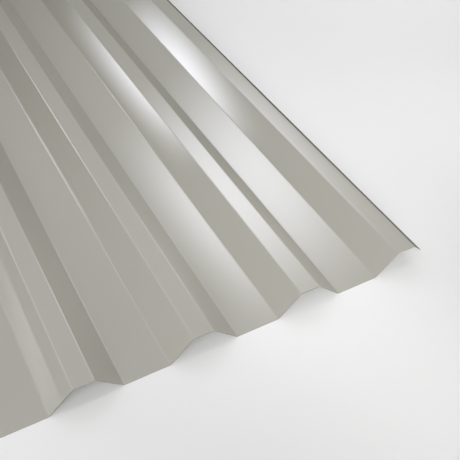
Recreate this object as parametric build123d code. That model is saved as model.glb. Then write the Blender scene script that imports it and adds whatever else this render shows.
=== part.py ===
"""Trapezoidal (box-profile) steel roofing sheet, rolled from one strip of coated steel.

X runs across the sheet, Y along it and Z up. The undersides of the pans lie on Z = 0,
and the origin is below the middle of the sheet.
"""
from build123d import *
from math import hypot
import os

# Driving dimensions, in millimetres
sheet_length = 2000.0      # stock length, between the two sheared ends
cover_width = 1000.0       # width that one laid sheet covers, first crown to last crown
pitches = 6                # rib spacings in the cover width
profile_depth = 34.0       # pan face to crown face, both on the weather side
crown_width = 30.0         # flat top of a rib, between its corners
pan_width = 66.0           # flat valley between two ribs, between its corners
steel_thickness = 0.7      # strip with its coatings
bend_radius = 3.0          # inside radius of every roll-formed bend
overlap_lip_drop = 13.6    # how far the right-hand side lap lip hangs below its crown
underlap_foot = 10.0       # flat foot at the bottom of the left-hand side lap leg

# Sizes that follow from them
pitch = cover_width / pitches
web_run = (pitch - crown_width - pan_width) / 2
web_slope = profile_depth / web_run
web_length = hypot(web_run, profile_depth)
pan_level = steel_thickness
crown_level = pan_level + profile_depth
lip_run = overlap_lip_drop / web_slope

# The sheet is centred on its whole width, which the two side laps make uneven about the crowns
left_reach = crown_width / 2 + web_run + underlap_foot
right_reach = crown_width / 2 + lip_run
first_crown = -(cover_width + right_reach - left_reach) / 2


def rib_corners(crown_centre):
    """Weather-side corners of one rib: up the left web, over the crown and down the right web."""
    half_crown = crown_width / 2
    half_rib = half_crown + web_run
    return [
        (crown_centre - half_rib, pan_level),
        (crown_centre - half_crown, crown_level),
        (crown_centre + half_crown, crown_level),
        (crown_centre + half_rib, pan_level),
    ]


def weather_side_corners():
    """Corners of the whole upper face, from the foot of the underlap to the end of the overlap lip."""
    foot_end = (first_crown - left_reach, pan_level)
    full_ribs = [
        corner
        for number in range(pitches)
        for corner in rib_corners(first_crown + number * pitch)
    ]
    last_crown = first_crown + cover_width
    lap_rib = rib_corners(last_crown)[:-1]
    lip_end = (last_crown + right_reach, crown_level - overlap_lip_drop)
    return [foot_end, *full_ribs, *lap_rib, lip_end]


def weather_side_radii(corners):
    """A bend is tight on its inside: crown corners are outside bends seen from above, pan corners inside ones."""
    outer_radius = bend_radius + steel_thickness
    return [outer_radius if z == crown_level else bend_radius for x, z in corners[1:-1]]


def profiled_sheet():
    """The strip's section, one thickness below its weather side, drawn out to the sheet's length."""
    corners = weather_side_corners()
    with BuildPart() as sheet:
        with BuildSketch(Plane.XZ):
            with BuildLine():
                FilletPolyline(*corners, radius=weather_side_radii(corners))
                offset(amount=steel_thickness, side=Side.RIGHT)
            make_face()
        extrude(amount=sheet_length / 2, both=True)
    return sheet.part


sheet = profiled_sheet()
os.makedirs("parts", exist_ok=True)
export_step(sheet, "parts/profiled_sheet.step")

size = sheet.bounding_box().size
print("sheet", round(size.X, 2), "x", round(size.Y, 2), "x", round(size.Z, 2), "mm")
print("web", round(web_length, 2), "mm long, run", round(web_run, 2), "mm")
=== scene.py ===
# %% [markdown]
# # A roll-formed roofing sheet, dressed for its picture
#
# The object is one strip of coated steel that a roll former has folded into seven ribs. Nothing is
# fixed to it, so the whole lesson is about one surface: getting its folds, its paint, its cut edges
# and the light on it right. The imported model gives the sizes, and this file gives the looks. All
# lengths are in metres, and every point is made at its real place, so nothing is moved afterwards.

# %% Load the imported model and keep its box
from math import cos, pi, radians, sin

import bpy
import numpy as np
from mathutils import Euler, Matrix, Vector


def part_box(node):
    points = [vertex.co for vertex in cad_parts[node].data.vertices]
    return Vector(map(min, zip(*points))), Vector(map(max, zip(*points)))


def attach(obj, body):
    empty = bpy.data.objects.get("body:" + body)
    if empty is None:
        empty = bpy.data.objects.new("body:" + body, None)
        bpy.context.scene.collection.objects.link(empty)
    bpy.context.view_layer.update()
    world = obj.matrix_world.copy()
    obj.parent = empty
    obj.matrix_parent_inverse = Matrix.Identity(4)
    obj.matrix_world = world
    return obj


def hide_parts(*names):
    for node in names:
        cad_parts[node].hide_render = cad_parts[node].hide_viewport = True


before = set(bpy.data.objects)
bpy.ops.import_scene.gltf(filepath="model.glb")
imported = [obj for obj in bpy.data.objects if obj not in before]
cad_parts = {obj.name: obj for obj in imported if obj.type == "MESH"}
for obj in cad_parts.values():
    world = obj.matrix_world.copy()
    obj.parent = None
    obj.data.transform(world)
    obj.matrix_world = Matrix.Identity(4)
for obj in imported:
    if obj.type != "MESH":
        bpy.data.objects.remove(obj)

scene = bpy.context.scene
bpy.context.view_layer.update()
sheet_low, sheet_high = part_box("profiled_sheet")
mm = 0.001
micron = 0.000001
print("packed sheet, mm:", *(round((high - low) / mm, 2) for low, high in zip(sheet_low, sheet_high)))

# %% [markdown]
# ## The camera
#
# The photograph looks down on the sheet from in front of its near end, a little to the left of the
# ribs that fill the frame. Its place was worked out from the crease lines, which all run to one
# vanishing point, and from the corners of the sheared edge, whose spacing is known. A camera could
# also be nudged until the picture looks right, but one that is worked out needs no shift and no
# trimming by eye, and any error that is left is an error of the sheet.

# %% Place the camera of the photograph
photo_camera_place = Vector((-0.0723, -1.5478, 0.8072))
photo_camera_dip = radians(43.926)       # below the horizon
photo_camera_heading = radians(28.124)   # from +Y towards +X
photo_camera_roll = radians(-0.056)
photo_sensor_width = 36                  # mm
photo_lens = 57.69                       # mm, on that sensor
sight_reach = 60                         # past the far edge of the floor

camera_data = bpy.data.cameras.new("photo_camera")
camera_data.sensor_width = photo_sensor_width
camera_data.lens = photo_lens
camera_data.clip_end = sight_reach
camera = bpy.data.objects.new("photo_camera", camera_data)
camera.location = photo_camera_place
camera.rotation_euler = Euler((pi / 2 - photo_camera_dip, photo_camera_roll, -photo_camera_heading))
scene.collection.objects.link(camera)
scene.camera = camera
print("camera", tuple(round(v, 3) for v in camera.location), "lens", photo_lens)

# %% [markdown]
# ## The section, as a folded line
#
# A box-profile sheet is a chain of flats: pan, web, crown, web, pan. Only a few sizes are free, and
# the rest follow from them: the pitch is the cover width shared out, and two webs share what crown
# and pan leave of a pitch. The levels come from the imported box, so this line can't drift away from
# the solid. Both sides of a real sheet end in a lap: a short lip on the right lies over the next sheet,
# and a small foot on the left lies under the sheet before.

# %% Sizes of the section
gauge = 0.0007               # strip with its coatings
inner_bend_radius = 0.003    # on the inside of every fold
cover_width = 1.0            # first crown to last crown
rib_gaps = 6
crown_width = 0.030
pan_width = 0.066
overlap_lip_drop = 0.0136    # the right-hand lip, below its crown
underlap_foot = 0.010        # the left-hand foot

pitch = cover_width / rib_gaps
pan_level = sheet_low.z + gauge
crown_level = sheet_high.z
profile_depth = crown_level - pan_level
half_crown = crown_width / 2
web_run = (pitch - crown_width - pan_width) / 2
lip_run = overlap_lip_drop * web_run / profile_depth
sheet_length = sheet_high.y - sheet_low.y
print("profile", round(profile_depth / mm, 2), "mm deep, webs", round(web_run / mm, 2), "mm across")

# %% [markdown]
# Each rib has four corners, and they repeat at every pitch, so the corners are one small pattern
# added to the row of crown centres. Typing 29 corners would work too, but then a change of the pitch
# would mean typing them again. The last corner is then moved up its web, where the lip is cut off.

# %% Corners of the weather side, from the left foot to the right lip
half_rib = half_crown + web_run
rib_across = np.array([-half_rib, -half_crown, half_crown, half_rib])
rib_height = np.array([pan_level, crown_level, crown_level, pan_level])
first_crown = sheet_low.x + underlap_foot + web_run + half_crown
crown_centres = first_crown + pitch * np.arange(rib_gaps + 1)

corner_x = (crown_centres[:, None] + rib_across).ravel()
corner_z = np.tile(rib_height, rib_gaps + 1)
corner_x[-1] = crown_centres[-1] + half_crown + lip_run
corner_z[-1] = crown_level - overlap_lip_drop
corners = np.column_stack([np.append(sheet_low.x, corner_x), np.append(pan_level, corner_z)])
lip_miss = sheet_high.x - corners[-1, 0]
print(len(corners), "corners; the lip ends", round(lip_miss / micron, 1), "micron from the box")

# %% [markdown]
# Rolls can't fold steel to a point, so every corner is a small arc, and those arcs catch the bright
# lines that make the photograph look like metal. A Bevel modifier could round the folds, but it
# would round the weather side and the underside alike, and a real bend has a longer radius outside
# than inside. One formula for all corners at once keeps the strip one gauge thick all the way
# round, and it also gives the exact direction in which every point of an arc faces.


# %% Round every fold with one formula
def rounded_section(corners, gauge, inner_radius, steps):
    """The folded line with its corners rounded, and the way its upper face looks at each point.

    Side k heads at angle a(k), and its upper normal is that heading turned a quarter left. The fold
    between two sides turns by t = a(k+1) - a(k). Its arc starts r tan(|t|/2) before the corner, its
    centre lies r along the normal on the side that the fold closes, and a share s of the way round
    the normal has turned by s t. The radius is the inner one where the fold closes upwards, and one
    gauge more where it closes downwards, so both faces of the strip keep the same thickness.
    """
    side = np.diff(corners, axis=0)
    heading = np.arctan2(side[:, 1], side[:, 0])
    along = np.column_stack([np.cos(heading), np.sin(heading)])
    upward = np.column_stack([-np.sin(heading), np.cos(heading)])
    turn = np.diff(heading)
    closes = np.sign(turn)
    radius = np.where(closes > 0, inner_radius, inner_radius + gauge)
    start = corners[1:-1] - along[:-1] * (radius * np.tan(np.abs(turn) / 2))[:, None]
    centre = start + upward[:-1] * (closes * radius)[:, None]
    angle = heading[:-1, None] + turn[:, None] * np.linspace(0, 1, steps + 1)
    normals = np.stack([-np.sin(angle), np.cos(angle)], axis=-1)
    points = centre[:, None, :] - normals * (closes * radius)[:, None, None]
    points = np.concatenate([corners[:1], points.reshape(-1, 2), corners[-1:]])
    normals = np.concatenate([upward[:1], normals.reshape(-1, 2), upward[-1:]])
    return points, normals


bend_steps = 10
section, section_normals = rounded_section(corners, gauge, inner_bend_radius, bend_steps)
developed = np.append(0, np.cumsum(np.linalg.norm(np.diff(section, axis=0), axis=1)))
print(len(section), "points across; the flat strip was", round(developed[-1] / mm, 1), "mm wide")

# %% [markdown]
# ## The strip, as one closed surface
#
# Both faces, both sheared ends and both slit edges belong to one piece of steel, so they are one
# mesh. It is a grid: one way it follows the section, and the other way it runs down the weather
# side, over the far sheared end, back along the underside and up the near end. Solidify could also
# give a single face its thickness, but its rims are square. A shear doesn't cut square: it draws
# the paint over the upper edge a little before the steel breaks. That small round catches a thin
# line of light on a real cut end, so the path round the strip has it built in.


# %% The path round the strip, from end to end
def strip_loop(length, gauge, drawn, rows, round_steps):
    """Places on the loop round the strip: how far along, how deep below the weather side, the tilt.

    The tilt is the angle from the weather side's normal to the local one, before and after each
    place, so a break in it is a sharp edge. The far end's drawn-over edge is a quarter circle,
    drawn long and deep, then a straight cut at a quarter turn. The near end mirrors it.
    """
    half = length / 2
    top = np.linspace(-half + drawn, half - drawn, rows)
    quarter = np.linspace(0, pi / 2, round_steps + 1)[1:]
    round_along = half - drawn + drawn * np.sin(quarter)
    round_depth = drawn * (1 - np.cos(quarter))
    bottom = np.linspace(half, -half, rows)
    along = np.concatenate([top, round_along, bottom, -round_along[::-1]])
    depth = np.concatenate([np.zeros(rows), round_depth, np.full(rows, gauge), round_depth[::-1]])
    before = np.concatenate([np.zeros(rows), quarter, np.full(rows, pi), -quarter[::-1]])
    after = before.copy()
    before[rows + round_steps] = pi / 2
    after[2 * rows + round_steps - 1] = -pi / 2
    return along, depth, before, after


drawn_edge = 0.00022
length_rows = 25
round_steps = 4
loop_along, loop_depth, tilt_before, tilt_after = strip_loop(
    sheet_length, gauge, drawn_edge, length_rows, round_steps
)
print(len(loop_along), "places round the strip,", length_rows, "of them down each face")

# %% [markdown]
# Now the section is carried along that path. Every point of the section slides down its own normal
# by the depth, so crowns, webs and folds all get the same thickness. Faces join each point with its
# neighbour across and the next place round the strip, and the last place joins the first again.


# %% Carry the section round the strip
def carry(section, normals, along, depth):
    """Grid of points: each section point, moved depth below its upper normal and along the sheet."""
    across = section[:, None, 0] - normals[:, None, 0] * depth
    height = section[:, None, 1] - normals[:, None, 1] * depth
    return np.stack([across, np.broadcast_to(along, across.shape), height], axis=-1)


columns, places = len(section), len(loop_along)
grid = carry(section, section_normals, loop_along, loop_depth)
vertex_number = np.arange(columns * places).reshape(columns, places)
next_place = np.roll(vertex_number, -1, axis=1)
wall_faces = np.stack([vertex_number[:-1], vertex_number[1:], next_place[1:], next_place[:-1]], axis=-1)
wall_faces = wall_faces.reshape(-1, 4)
print(len(wall_faces), "faces round the strip")

# %% [markdown]
# Glossy paint shows every kink in the shading. Smooth shading alone would average the normals of a
# wide flat and its narrow fold, and the flat would look swollen. The true normals are known, so the
# mesh is given them: the section's own normal, tilted towards the end where the path turns over it.


# %% Work out the true normals
def tilted(normals, tilt):
    """Grid of normals: each section normal turned by the tilt towards the far end.

    What is left of the section normal is the cosine of the tilt, and what lies along is its sine.
    """
    cosine = np.cos(tilt)
    return np.stack([
        normals[:, None, 0] * cosine,
        np.broadcast_to(np.sin(tilt), (len(normals), len(tilt))),
        normals[:, None, 1] * cosine,
    ], axis=-1)


normal_after = tilted(section_normals, tilt_after)
normal_before = np.roll(tilted(section_normals, tilt_before), -1, axis=1)
wall_normals = np.stack([normal_after[:-1], normal_after[1:], normal_before[1:], normal_before[:-1]], axis=2)
wall_normals = wall_normals.reshape(-1, 3)
print(len(wall_normals), "normals, one for each corner of those faces")

# %% [markdown]
# The two slit edges close the surface. Each is a ladder of quads between the weather side and the
# underside, and at both sheared ends a fan of triangles fills the space below the drawn-over round.
# One long polygon would close an edge too, but it is thin and bent, and cutting it up is left to
# chance. A ladder stays tidy in any program that opens the model.

# %% Close the two slit edges
steps = np.arange(length_rows)
far_corner = length_rows + round_steps
near_corner = 2 * length_rows + round_steps - 1
upper, lower = steps, near_corner - steps
ladder = np.stack([upper[:-1], upper[1:], lower[1:], lower[:-1]], axis=1)

far_chain = np.arange(length_rows - 1, far_corner)
near_chain = np.append(np.arange(near_corner + 1, places), 0)
fans = np.concatenate([
    np.column_stack([chain[:-1], chain[1:], np.full(round_steps, corner)])
    for chain, corner in ((far_chain, far_corner), (near_chain, near_corner))
])
left_edge, right_edge = vertex_number[0], vertex_number[-1]
edge_quads = np.concatenate([left_edge[ladder], right_edge[ladder][:, ::-1]])
edge_fans = np.concatenate([left_edge[fans], right_edge[fans][:, ::-1]])
print(len(edge_quads) + len(edge_fans), "faces down the two slit edges")

# %% [markdown]
# A slit edge is flat, so all its corners share one normal. It lies along the last flat of the strip
# and points away from the sheet, and without it the edge would be shaded as part of a round.

# %% Normals of the slit edges
left_out = np.array([-section_normals[0, 1], 0, section_normals[0, 0]])
right_out = np.array([section_normals[-1, 1], 0, -section_normals[-1, 0]])


def flat_normals(share):
    """One outward normal for every face corner: the left edge's share first, then the right edge's."""
    return np.concatenate([np.tile(left_out, (share, 1)), np.tile(right_out, (share, 1))])


quad_normals = flat_normals(ladder.size)
fan_normals = flat_normals(fans.size)
print("slit edges face", left_out.round(3), "and", right_out.round(3))

# %% [markdown]
# ## From arrays to a mesh
#
# The three surfaces of the strip look different: paint above, a backing coat below and bare steel
# where it was cut. Each face therefore carries the number of its finish. The mesh also gets a map
# that unrolls it to the flat strip, in real metres, because paint and rolling marks were laid on
# the flat strip before it was folded. A pattern that follows the room's axes would stretch down
# the webs instead.

# %% Put the arrays into a mesh
coat_side, backing_side, bare_side = 0, 1, 2
place_finish = np.full(places, coat_side)
place_finish[far_corner:near_corner] = backing_side
place_finish[[far_corner - 1, near_corner]] = bare_side
wall_finish = np.tile(place_finish, columns - 1)
edge_finish = np.full(len(edge_quads) + len(edge_fans), bare_side)

quads = np.concatenate([wall_faces, edge_quads])
mesh = bpy.data.meshes.new("roofing_sheet")
mesh.from_pydata(grid.reshape(-1, 3).tolist(), [], quads.tolist() + edge_fans.tolist())
mesh.polygons.foreach_set("material_index", np.concatenate([wall_finish, edge_finish]).astype(np.int32))
mesh.polygons.foreach_set("use_smooth", np.ones(len(mesh.polygons), bool))

unrolled = np.stack(np.broadcast_arrays(developed[:, None], loop_along), axis=-1).reshape(-1, 2)
corner_vertices = np.concatenate([quads.ravel(), edge_fans.ravel()])
strip_map = mesh.uv_layers.new(name="strip")
strip_map.data.foreach_set("uv", unrolled[corner_vertices].astype(np.float32).ravel())
mesh.normals_split_custom_set(np.concatenate([wall_normals, quad_normals, fan_normals]).tolist())
mesh.update()
print(len(mesh.polygons), "faces,", len(mesh.vertices), "points; valid:", not mesh.validate())

# %% [markdown]
# The imported solid stays in the model for its weight and its collisions. The dressed sheet rides on
# the same body and hides that solid in pictures.

# %% Stand it in for the imported node
sheet = bpy.data.objects.new("roofing_sheet", mesh)
scene.collection.objects.link(sheet)
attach(sheet, "root")
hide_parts("profiled_sheet")
print("the sheet fills, mm:", *(round(v / mm, 2) for v in sheet.dimensions))

# %% [markdown]
# ## The weather side
#
# Coil-coated steel wears a stoved polyester paint over zinc. Its skin is nearly as smooth as glass,
# so it mirrors the room, more the flatter one looks along it, over an even grey-green body colour.
# One principled shader says just that: a diffuse colour under one sharp, strong reflection. A metal
# shader would be the wrong choice, because it tints what it mirrors and has no body colour. The
# finish starts blank, with the strip's own map at hand for every pattern.


# %% A blank finish that reads the strip's map
def add_node(tree, kind, settings=None, **inputs):
    """A node of that kind, with its properties set and its inputs given as values or as links.

    An input is given by its name, or by its number with an i before it where it has no name of its own.
    """
    node = tree.nodes.new(kind)
    for name, value in (settings or {}).items():
        setattr(node, name, value)
    for name, value in inputs.items():
        socket = node.inputs[int(name[1:]) if name[1:].isdigit() else name.replace("_", " ")]
        if isinstance(value, bpy.types.NodeSocket):
            tree.links.new(value, socket)
        else:
            socket.default_value = value
    return node


def new_finish(name):
    """An empty material with its node tree, its principled shader and the strip's map."""
    material = bpy.data.materials.new(name)
    material.use_nodes = True
    tree = material.node_tree
    shader = tree.nodes["Principled BSDF"]
    strip = add_node(tree, "ShaderNodeUVMap", {"uv_map": strip_map.name})
    return material, tree, shader, strip.outputs["UV"]


weather_coat, tree, shader, strip = new_finish("polyester_coat")
print(weather_coat.name, "starts with", [node.name for node in tree.nodes])

# %% [markdown]
# The paint is rolled on from a bath, so its colour hardly changes, but over a few hundred
# millimetres it drifts a little. A single flat colour looks like plastic film. Noise with long
# cells, laid on the flat strip, mixes two colours that are very close.


# %% The coat's colour and its drift
def grain(tree, strip, cell):
    """Noise from 0 to 1, whose cells are so many metres across and along the flat strip."""
    across, along = cell
    sized = add_node(tree, "ShaderNodeMapping", Vector=strip, Scale=(1 / across, 1 / along, 1))
    noise = add_node(tree, "ShaderNodeTexNoise", Vector=sized.outputs[0], Scale=1.0, Detail=grain_detail)
    return noise.outputs["Fac"]


def colour_mix(tree, share, first, second):
    """The first colour where the share is 0, the second where it is 1, and a straight mix between."""
    mix = add_node(tree, "ShaderNodeMix", {"data_type": "RGBA"}, Factor=share, A=first, B=second)
    return mix.outputs["Result"]


grain_detail = 2.0                             # octaves of finer noise in every grain
coat_colour = (0.325, 0.3125, 0.248, 1)
coat_colour_drift = (0.333, 0.3195, 0.253, 1)
drift_cell = (0.35, 0.9)

coat_drift = grain(tree, strip, drift_cell)
coat_tint = colour_mix(tree, coat_drift, coat_colour, coat_colour_drift)
tree.links.new(coat_tint, shader.inputs["Base Color"])
print("coat", coat_colour[:3], "drifting to", coat_colour_drift[:3])

# %% [markdown]
# The rolls leave faint bands that are a little glossier or duller, and the skin has the soft ripple
# that painters call orange peel. Both are far too fine to model, and both are seen only in what the
# paint mirrors, so they go into the roughness and into a bump. The paint's refractive index is set
# a little high, because this coat mirrors the room more strongly than a common varnish.


# %% The coat's gloss and its ripple
def spread(tree, value, low, high):
    """A 0 to 1 value stretched in a straight line to run from low to high."""
    ranged = add_node(tree, "ShaderNodeMapRange", Value=value, To_Min=low, To_Max=high)
    return ranged.outputs["Result"]


def bumped(tree, height, distance):
    """A bump, as a normal: the height, from 0 to 1, stands that many metres proud."""
    bump = add_node(tree, "ShaderNodeBump", Height=height, Distance=distance, Strength=1.0)
    return bump.outputs["Normal"]


coat_index = 1.8
coat_roughness = (0.03, 0.045)
rolling_band_cell = (0.02, 0.6)
orange_peel_cell = (0.0022, 0.0030)
orange_peel_height = 0.0000004

rolling_bands = grain(tree, strip, rolling_band_cell)
orange_peel = grain(tree, strip, orange_peel_cell)
tree.links.new(spread(tree, rolling_bands, *coat_roughness), shader.inputs["Roughness"])
tree.links.new(bumped(tree, orange_peel, orange_peel_height), shader.inputs["Normal"])
shader.inputs["IOR"].default_value = coat_index
print("coat roughness", *coat_roughness, "and a ripple of", round(orange_peel_height / micron, 2), "micron")

# %% [markdown]
# ## The underside
#
# Under the sheet there is only a thin backing coat, flatter and paler than the paint, through which
# the rolling lines of the strip still show. They are long and narrow, so one grain with cells 1.6 mm
# by 250 mm drives colour, roughness and bump together, as one rolling line does on the real strip.

# %% The backing coat
backing_dark = (0.47, 0.48, 0.47, 1)
backing_light = (0.53, 0.53, 0.52, 1)
backing_roughness = (0.42, 0.52)
rolling_line_cell = (0.0016, 0.25)
rolling_line_height = 0.000002

backing_coat, tree, shader, strip = new_finish("backing_coat")
rolling_lines = grain(tree, strip, rolling_line_cell)
tree.links.new(colour_mix(tree, rolling_lines, backing_dark, backing_light), shader.inputs["Base Color"])
tree.links.new(spread(tree, rolling_lines, *backing_roughness), shader.inputs["Roughness"])
tree.links.new(bumped(tree, rolling_lines, rolling_line_height), shader.inputs["Normal"])
print("backing coat from", backing_dark[:3], "to", backing_light[:3])

# %% [markdown]
# ## The cut edges
#
# Where the strip was sheared to length or slit to width, bare steel shows between two skins of zinc,
# torn in fine lines. The edge is less than a millimetre high, so all it needs is the right dark grey,
# a broken gloss and only part of a metal's mirror: freshly torn steel is too rough for a full one.

# %% The sheared steel, and all three finishes on the mesh
torn_dark = (0.11, 0.11, 0.108, 1)
torn_light = (0.19, 0.19, 0.187, 1)
torn_roughness = (0.35, 0.6)
torn_line_cell = (0.0004, 0.02)
torn_metal_share = 0.4

bare_steel, tree, shader, strip = new_finish("sheared_steel")
torn_lines = grain(tree, strip, torn_line_cell)
tree.links.new(colour_mix(tree, torn_lines, torn_dark, torn_light), shader.inputs["Base Color"])
tree.links.new(spread(tree, torn_lines, *torn_roughness), shader.inputs["Roughness"])
shader.inputs["Metallic"].default_value = torn_metal_share

for material in (weather_coat, backing_coat, bare_steel):
    mesh.materials.append(material)
print("finishes:", [material.name for material in mesh.materials])

# %% [markdown]
# ## The floor
#
# The sheet lies on a plain pale floor that has no visible edge. A plane of 24 m does that more simply
# than a curved backdrop, because the camera looks down and never meets its far edge. It lies a fifth
# of a millimetre under the sheet, so that two surfaces never share one plane. It gives light but
# leaves no mirror image in the paint, and so the lip stays the thin dark line of the photograph.

# %% The floor's surface
floor_half = 12.0
floor_gap = 0.0002
floor_level = sheet_low.z - floor_gap
floor_corners = [(-1, -1), (1, -1), (1, 1), (-1, 1)]
floor_mesh = bpy.data.meshes.new("floor")
floor_mesh.from_pydata(
    [(x * floor_half, y * floor_half, floor_level) for x, y in floor_corners], [], [(0, 1, 2, 3)]
)
floor = bpy.data.objects.new("floor", floor_mesh)
scene.collection.objects.link(floor)
floor.visible_glossy = False
print("floor", 2 * floor_half, "m wide at", round(floor_level / mm, 2), "mm")

# %% [markdown]
# The floor's paint is satin, not matt. Satin paint throws part of the light on past the sheet, and
# that makes the floor a little brighter towards the lamps, as it is in the photograph. Its colour is
# slightly warm, because the lamps are slightly cool, and together they look white.

# %% The floor's paint
floor_colour = (0.665, 0.652, 0.588, 1)
floor_roughness = 0.33
floor_index = 1.7
floor_paint = bpy.data.materials.new("floor_paint")
floor_paint.use_nodes = True
floor_shader = floor_paint.node_tree.nodes["Principled BSDF"]
floor_shader.inputs["Base Color"].default_value = floor_colour
floor_shader.inputs["Roughness"].default_value = floor_roughness
floor_shader.inputs["IOR"].default_value = floor_index
floor_mesh.materials.append(floor_paint)
print("floor paint", floor_colour[:3], "roughness", floor_roughness)

# %% [markdown]
# ## The room
#
# Glossy paint shows the room more than the lamps, so the room matters as much as the coat. It could
# be built from walls, but only its brightness in each direction counts, and Blender's World can say
# that directly. The walls glow evenly and a little more higher up. Each change of brightness is a
# smooth step of the direction's height or heading, because a hard one would draw a line on the paint.


# %% Walls that glow
def soft_step(tree, value, low, high, to_low=0.0, to_high=1.0):
    """A smooth step from to_low, where the value is low, to to_high, where it is high.

    With t the share of the way from low to high, the step goes by 3 t squared less 2 t cubed.
    """
    return add_node(
        tree, "ShaderNodeMapRange", {"interpolation_type": "SMOOTHSTEP"},
        Value=value, From_Min=low, From_Max=high, To_Min=to_low, To_Max=to_high,
    ).outputs["Result"]


def arithmetic(tree, operation, first, second):
    """One sum or product of two values."""
    return add_node(tree, "ShaderNodeMath", {"operation": operation}, i0=first, i1=second).outputs[0]


room = bpy.data.worlds.new("studio_room")
scene.world = room
room.use_nodes = True
tree = room.node_tree
background = tree.nodes["Background"]
direction = add_node(tree, "ShaderNodeTexCoord").outputs["Generated"]
towards = add_node(tree, "ShaderNodeSeparateXYZ", Vector=direction).outputs

wall_glow = 0.44
upper_wall_glow = 0.17             # what the walls gain higher up
upper_wall_step = (0.468, 0.921)   # in sines of the angle above the floor

upper_walls = arithmetic(tree, "MULTIPLY", upper_wall_glow, soft_step(tree, towards["Z"], *upper_wall_step))
walls = arithmetic(tree, "ADD", wall_glow, upper_walls)
print("walls glow at", wall_glow, "and higher up at", round(wall_glow + upper_wall_glow, 2))

# %% [markdown]
# Behind the sheet, low on the horizon, the photograph's room is dark. That is why the flats fade as
# they run away from the camera. The gap is an ellipsoid round one direction, ten times as wide as it
# is high: a Mapping node moves, turns and squeezes the direction until the gap is a ball, and the
# distance from its middle says how far the gap has closed.


# %% The dark gap on the far horizon
def heading_vector(heading, height_angle):
    """The direction that lies a heading away from +Y towards +X, and a height angle above the floor.

    Its height is the sine of the height angle. The cosine is shared out by the heading's sine
    across and by the heading's cosine along.
    """
    return Vector((cos(height_angle) * sin(heading), cos(height_angle) * cos(heading), sin(height_angle)))


gap_heading = radians(3.3)
gap_height = radians(12.6)
gap_stretch = 10.0
gap_step = (0.131, 0.416)

gap_middle = heading_vector(gap_heading, gap_height)
from_gap = add_node(
    tree, "ShaderNodeMapping", {"vector_type": "TEXTURE"}, Vector=direction,
    Location=gap_middle, Rotation=(0, 0, -gap_heading), Scale=(gap_stretch, 1, 1),
).outputs[0]
gap_distance = add_node(tree, "ShaderNodeVectorMath", {"operation": "LENGTH"}, i0=from_gap).outputs["Value"]
walls = arithmetic(tree, "MULTIPLY", walls, soft_step(tree, gap_distance, *gap_step))
print("dark gap towards", tuple(round(v, 3) for v in gap_middle))

# %% [markdown]
# Three more regions finish the room: the side behind the camera, which is brighter, the ceiling,
# which is dim because its light comes from the boxes, and what lies below the horizon. The floor
# hides that last region from the camera, but not from the paint, so its dim glow is what the lip and
# the lower folds mirror. All the light has one tint, slightly cool, as in the photograph.


# %% Join the room's regions
def level_mix(tree, share, first, second):
    """The first level where the share is 0, the second where it is 1, and a straight mix between."""
    mix = add_node(tree, "ShaderNodeMix", {"data_type": "FLOAT"}, i0=share, i2=first, i3=second)
    return mix.outputs[0]


front_glow = 0.63
ceiling_glow = 0.09
below_glow = 0.05
front_step = (-0.4, 0.15)      # from the camera's side to the far one
ceiling_step = (0.84, 0.95)    # both in sines of the angle above the floor
horizon_step = (-0.10, 0.02)
light_tint = (0.89, 0.905, 1.0)

glow = level_mix(tree, soft_step(tree, towards["Y"], *front_step), front_glow, walls)
glow = level_mix(tree, soft_step(tree, towards["Z"], *ceiling_step), glow, ceiling_glow)
glow = level_mix(tree, soft_step(tree, towards["Z"], *horizon_step), below_glow, glow)
tree.links.new(glow, background.inputs["Strength"])
background.inputs["Color"].default_value = (*light_tint, 1)
print("front", front_glow, "ceiling", ceiling_glow, "below", below_glow, "tint", light_tint)

# %% [markdown]
# ## Light boxes that the paint shows
#
# A studio lights glossy goods with soft boxes, and most of what looks like the sheet's shading is the
# mirror image of a box. Three of them hang behind the sheet. Their places were worked out backwards:
# from the camera to a bright spot of the photograph, and off the flat there as off a mirror. A plain
# area lamp ends in a hard line, which would show on the paint, so each box fades towards its rims.


# %% A box that fades to its rims
def light_box(name, aim, heading, height, distance, half_size, radiance, roll=0, fades=(0.6, 0.6), beam=180):
    """A flat lamp that fades to its rims, hung at a distance from its aim, in a direction from it.

    The direction is a heading and a height, and it, the roll and the beam are in degrees. The
    brightness is the product, across and up the box, of two smooth steps inwards from the rims, and
    the fades say what share of the half width and the half height they take. The lamp's power is its
    radiance times pi times its area. A beam below 180 is what a honeycomb grid leaves of the light.
    """
    away = heading_vector(radians(heading), radians(height))
    level = away.cross(Vector((0, 0, 1))).normalized()
    upright = level.cross(away)
    right = level * cos(radians(roll)) + upright * sin(radians(roll))
    up = upright * cos(radians(roll)) - level * sin(radians(roll))
    lamp_data = bpy.data.lights.new(name, "AREA")
    lamp_data.shape = "RECTANGLE"
    lamp_data.size, lamp_data.size_y = (2 * half for half in half_size)
    lamp_data.energy = radiance * pi * lamp_data.size * lamp_data.size_y
    lamp_data.color = light_tint
    lamp_data.spread = radians(beam)
    lamp_data.use_nodes = True
    tree = lamp_data.node_tree
    place = add_node(tree, "ShaderNodeNewGeometry").outputs["Parametric"]
    across = add_node(tree, "ShaderNodeSeparateXYZ", Vector=place).outputs
    rims = [
        arithmetic(
            tree, "MULTIPLY", soft_step(tree, across[axis], 0.0, fade / 2),
            soft_step(tree, across[axis], 1.0 - fade / 2, 1.0, 1.0, 0.0),
        )
        for axis, fade in zip(("X", "Y"), fades)
    ]
    tree.links.new(arithmetic(tree, "MULTIPLY", *rims), tree.nodes["Emission"].inputs["Strength"])
    lamp = bpy.data.objects.new(name, lamp_data)
    lamp.location = aim + away * distance
    lamp.rotation_euler = Matrix((-right, up, away)).transposed().to_euler()
    lamp.visible_camera = False
    scene.collection.objects.link(lamp)
    print(name, "at", tuple(round(v, 2) for v in lamp.location))
    return lamp


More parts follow.
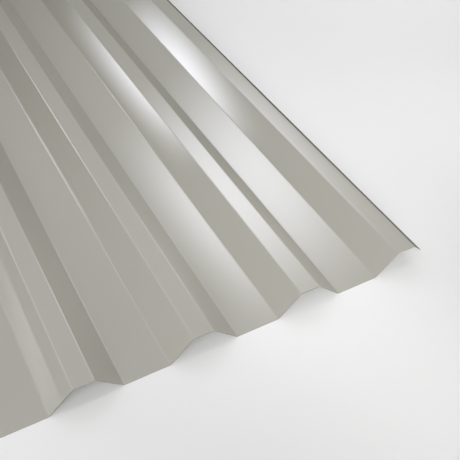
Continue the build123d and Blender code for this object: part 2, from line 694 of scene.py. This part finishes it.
# %% [markdown]
# The first box shows in the pans and crowns, the second in the webs that face left, and the third
# only as fine bright lines in the folds, where the paint looks up at every angle between.

# %% The three boxes behind the sheet
seen_middle = Vector((0.20, -0.45, 0.0))   # the middle of what the camera sees

light_box(
    "pan_light", seen_middle, heading=40.2, height=43.7, distance=2.2,
    half_size=(0.450, 0.748), radiance=4.1, roll=-48.0, fades=(0.68, 0.96),
)
light_box(
    "web_light", seen_middle, heading=-30.4, height=20.8, distance=4.0,
    half_size=(0.825, 0.383), radiance=7.2, roll=-24.2, fades=(0.95, 0.80),
)
light_box(
    "fold_light", seen_middle, heading=-18.8, height=45.2, distance=4.0,
    half_size=(0.313, 1.456), radiance=6.6, roll=0.9, fades=(0.92, 0.41),
)

# %% [markdown]
# ## Fill lights that the paint does not show
#
# The floor, the hollows under the ribs and the body colour need light from the camera's side too. A
# box there would burn a second picture into the paint, so these eight are kept out of mirror images,
# which Blender can do for any lamp. Two are large and soft, the lower one with a wide grid. The six
# small ones have a narrow grid, as in a studio, and each lights one place: the left ribs, the floor
# on the right or by the lip, the end of the lip, or the near end of one rib.

# %% The eight fills
left_ribs = Vector((0.0, -0.6, 0.0))
right_floor = Vector((1.05, -0.20, 0.0))
left_rib_end = Vector((0.02, -0.85, 0.0))
right_rib_end = Vector((0.40, -0.98, 0.0))
lip_end = Vector((0.55, -0.95, 0.0))
lip_floor = Vector((0.78, -0.78, 0.0))

fills = [
    light_box(
        "front_fill", seen_middle, heading=-150, height=45, distance=3.0,
        half_size=(0.9, 0.6), radiance=7.3,
    ),
    light_box(
        "low_fill", seen_middle, heading=-160, height=16, distance=3.0,
        half_size=(1.4, 0.7), radiance=2.8, beam=90,
    ),
    light_box(
        "top_fill", left_ribs, heading=-117, height=77, distance=2.05,
        half_size=(0.2, 0.2), radiance=4.7, beam=60,
    ),
    light_box(
        "right_fill", right_floor, heading=110, height=62, distance=2.2,
        half_size=(0.3, 0.3), radiance=4.3, beam=48,
    ),
    light_box(
        "rib_light", left_rib_end, heading=95, height=20, distance=2.0,
        half_size=(0.1, 0.1), radiance=1.1, beam=18,
    ),
    light_box(
        "lip_light", lip_end, heading=100, height=10, distance=2.0,
        half_size=(0.1, 0.1), radiance=0.8, beam=15,
    ),
    light_box(
        "bump_light", lip_floor, heading=110, height=70, distance=2.0,
        half_size=(0.15, 0.15), radiance=1.25, beam=22,
    ),
    light_box(
        "corner_light", right_rib_end, heading=170, height=25, distance=2.5,
        half_size=(0.1, 0.1), radiance=4.2, beam=14,
    ),
]
for fill in fills:
    fill.visible_glossy = False
print(len(fills), "fills leave no mirror image")

# %% [markdown]
# ## The view
#
# The picture's brightness was matched with Blender's plain Standard view, so it is set here and not
# left to chance. The sizes belong to the imported model, so the dressed sheet must fill the same box.

# %% Set the Standard view
scene.view_settings.view_transform = "Standard"
scene.view_settings.look = "None"
